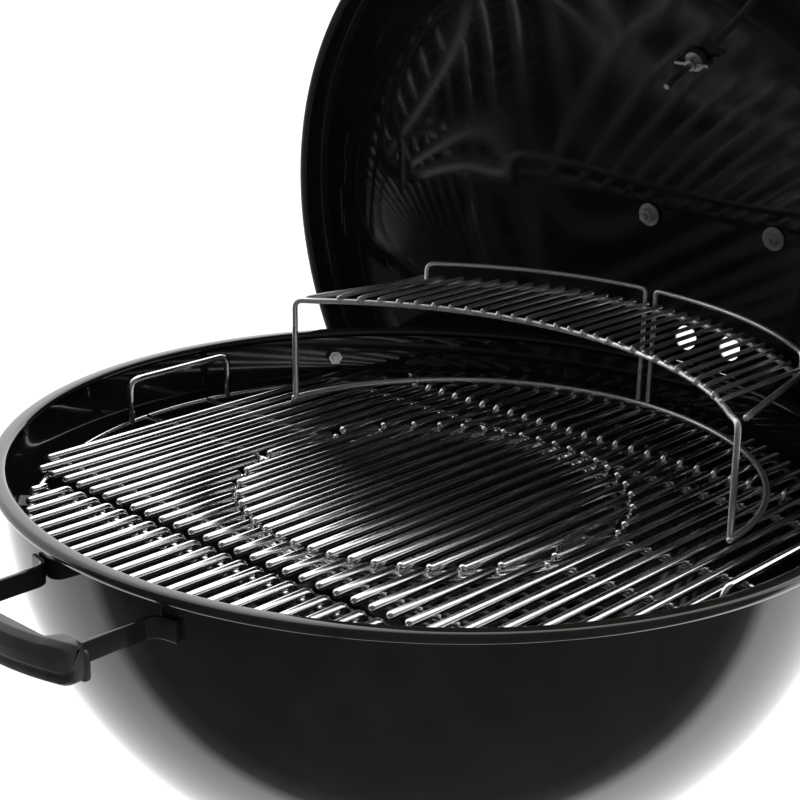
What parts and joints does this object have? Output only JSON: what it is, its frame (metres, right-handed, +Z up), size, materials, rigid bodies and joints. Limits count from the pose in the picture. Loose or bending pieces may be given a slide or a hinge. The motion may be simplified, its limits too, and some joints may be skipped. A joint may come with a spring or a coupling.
{
  "type": "kettle charcoal grill",
  "caption": "Round kettle charcoal grill on three legs, with its lid standing in a holder, a hinged cooking grate, a warming rack and an ash bucket.",
  "frame": {"origin": "middle of the whole grill's box, on the floor", "axes": "+Z up, +Y from the bowl handle towards the lid in its holder, +X to the right of someone at the bowl handle"},
  "size_m": [0.6178, 0.7456, 1.1458],
  "materials": {
    "enamel": "gloss black porcelain enamel",
    "nylon": "black glass-filled nylon",
    "plated_wire": "bright nickel-plated steel wire",
    "rack_wire": "polished stainless wire",
    "tube_metal": "satin metal tube",
    "hardware": "zinc-plated steel",
    "bucket_metal": "aluminised steel sheet",
    "fuel_steel": "heat-dulled steel rod",
    "case_steel": "spun stainless case",
    "dial": "white printed dial",
    "needle": "red painted pointer",
    "glass": "clear window",
    "tyre": "black moulded tread",
    "wheel_plastic": "black moulded wheel"
  },
  "bodies": {
    "kettle": {"bowl": "enamel", "leg_sockets": "enamel", "leg_front": "tube_metal", "leg_left": "tube_metal", "leg_right": "tube_metal", "leg_buttons": "hardware", "foot_cap": "nylon", "axle": "hardware", "bottom_rack": "rack_wire", "ash_ring": "bucket_metal", "lid_holder": "enamel", "holder_brackets": "enamel", "holder_bolts": "hardware", "grate_tabs": "enamel", "handle_strap": "enamel", "handle_grip": "nylon", "grip_screws": "hardware"},
    "lid": {"lid_shell": "enamel", "lid_handle": "nylon", "heat_shield": "bucket_metal", "lid_bolts": "hardware", "thermometer_case": "case_steel", "thermometer_dial": "dial", "thermometer_glass": "glass", "thermometer_stem": "hardware", "thermometer_nut": "hardware", "damper_rivet": "hardware"},
    "damper": {"lid_damper": "bucket_metal"},
    "needle": {"thermometer_needle": "needle"},
    "grate": {"grate_frame": "plated_wire", "grate_bars": "plated_wire", "flap_back": "plated_wire"},
    "front_flap": {"flap_front": "plated_wire"},
    "insert": {"grate_insert": "plated_wire"},
    "rack": {"rack_frame": "rack_wire", "rack_guards": "rack_wire", "rack_shelf": "rack_wire"},
    "charcoal": {"charcoal_grate": "fuel_steel"},
    "sweep": {"sweeper": "bucket_metal", "sweeper_lever": "bucket_metal", "lever_grip": "nylon"},
    "bucket": {"ash_bucket": "bucket_metal", "bucket_handle": "bucket_metal"},
    "left_wheel": {"tyre_left": "tyre", "wheel_disc_left": "wheel_plastic", "hub_cap_left": "hardware"},
    "right_wheel": {"tyre_right": "tyre", "wheel_disc_right": "wheel_plastic", "hub_cap_right": "hardware"}
  },
  "joints": [
    {"name": "lid_lift", "type": "slide", "parent": "kettle", "child": "lid", "axis": [0, 0.4819, 0.8762], "range_m": [0, 0.36]},
    {"name": "damper_turn", "type": "hinge", "parent": "lid", "child": "damper", "pos_m": [0, 0.32023, 0.75305], "axis": [0, 0.9971, -0.0766], "range_deg": [0, 45]},
    {"name": "needle_turn", "type": "hinge", "parent": "lid", "child": "needle", "pos_m": [0, 0.27674, 1.00842], "axis": [0, 0.9128, 0.4084], "range_deg": [-270, 0]},
    {"name": "grate_lift", "type": "slide", "parent": "kettle", "child": "grate", "axis": [0, 0, 1], "range_m": [0, 0.08]},
    {"name": "flap_front_hinge", "type": "hinge", "parent": "grate", "child": "front_flap", "pos_m": [0, -0.19282, 0.7301], "axis": [-1, 0, 0], "range_deg": [0, 90]},
    {"name": "insert_lift", "type": "slide", "parent": "grate", "child": "insert", "axis": [0, 0, 1], "range_m": [0, 0.08]},
    {"name": "rack_lift", "type": "slide", "parent": "grate", "child": "rack", "axis": [0, 0, 1], "range_m": [0, 0.08]},
    {"name": "charcoal_lift", "type": "slide", "parent": "kettle", "child": "charcoal", "axis": [0, 0, 1], "range_m": [0, 0.1]},
    {"name": "sweeper_turn", "type": "hinge", "parent": "kettle", "child": "sweep", "pos_m": [0, -0.01582, 0.49], "axis": [0, 0, 1], "range_deg": [-35, 35]},
    {"name": "bucket_turn", "type": "hinge", "parent": "kettle", "child": "bucket", "pos_m": [0, -0.01582, 0.39], "axis": [0, 0, 1], "range_deg": [0, 25]},
    {"name": "wheel_left_spin", "type": "hinge", "parent": "kettle", "child": "left_wheel", "pos_m": [-0.25606, 0.11199, 0.082], "axis": [1, 0, 0], "continuous": true},
    {"name": "wheel_right_spin", "type": "hinge", "parent": "kettle", "child": "right_wheel", "pos_m": [0.25606, 0.11199, 0.082], "axis": [1, 0, 0], "continuous": true}
  ]
}
